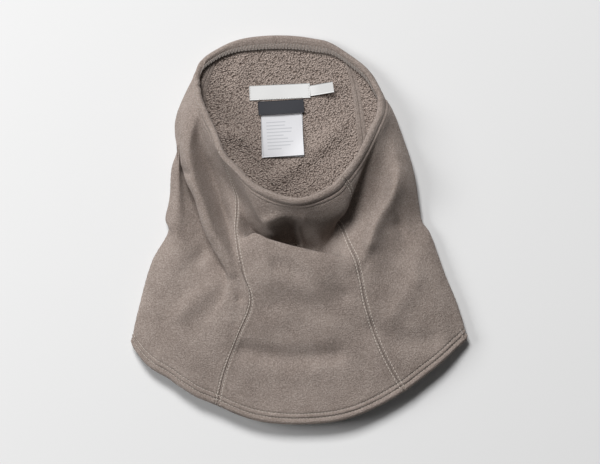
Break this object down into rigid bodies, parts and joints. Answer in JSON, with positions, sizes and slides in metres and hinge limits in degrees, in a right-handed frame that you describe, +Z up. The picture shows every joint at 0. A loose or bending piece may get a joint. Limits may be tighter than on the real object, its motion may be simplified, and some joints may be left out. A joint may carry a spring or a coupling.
{
  "type": "fleece neck gaiter",
  "caption": "Fleece neck gaiter sewn from flared panels, lying on its back with the collar pulled open and the sewn-in labels showing.",
  "frame": {"origin": "centre of the bounding box's underside, on the surface that the gaiter lies on", "axes": "+Y from the front of the bottom hem to the back of the collar, +Z up from the surface, out of the pulled-open collar, +X to the right as the gaiter is seen from above with its collar at the top"},
  "size_m": [0.337, 0.3888, 0.069],
  "materials": {
    "fleece": "taupe polyester fleece, short matt nap outside and pebbled high-loft pile inside",
    "seam_thread": "spun polyester thread, matt, a little lighter than the fleece",
    "looper_thread": "soft textured polyester, matt, greyish",
    "woven_label": null,
    "charcoal_label": "charcoal woven tape, matt",
    "satin_label": null,
    "label_thread": "fine off-white thread"
  },
  "bodies": {
    "root": {"back_panel": "fleece", "right_side_panel": "fleece", "front_panel": "fleece", "left_side_panel": "fleece", "back_right_seam_thread": "seam_thread", "front_right_seam_thread": "seam_thread", "front_left_seam_thread": "seam_thread", "back_left_seam_thread": "seam_thread", "back_right_seam_topstitching": "seam_thread", "front_right_seam_topstitching": "seam_thread", "front_left_seam_topstitching": "seam_thread", "back_left_seam_topstitching": "seam_thread", "collar_hem_stitching": "seam_thread", "collar_hem_looper_thread": "looper_thread", "bottom_hem_stitching": "seam_thread", "bottom_hem_looper_thread": "looper_thread", "main_label": "woven_label", "main_label_stitching": "label_thread", "flap_label_stitching": "label_thread"},
    "care_label": {"care_label_top_leaf": "satin_label", "care_label_under_leaf": "satin_label"},
    "fabric_label": {"fabric_label": "charcoal_label"},
    "flag_label": {"flag_label": "woven_label"}
  },
  "joints": [
    {"name": "care_label_lift", "type": "hinge", "parent": "root", "child": "care_label", "pos_m": [-0.01803, 0.13004, 0.004], "axis": [-0.9986, -0.0523, 0], "range_deg": [0, 90]},
    {"name": "fabric_label_lift", "type": "hinge", "parent": "care_label", "child": "fabric_label", "pos_m": [-0.01803, 0.13004, 0.004], "axis": [-0.9986, -0.0523, 0], "range_deg": [0, 75]},
    {"name": "flag_label_lift", "type": "hinge", "parent": "root", "child": "flag_label", "pos_m": [0.01223, 0.14114, 0.0031], "axis": [0.0523, -0.9986, 0], "range_deg": [-15, 60]}
  ]
}
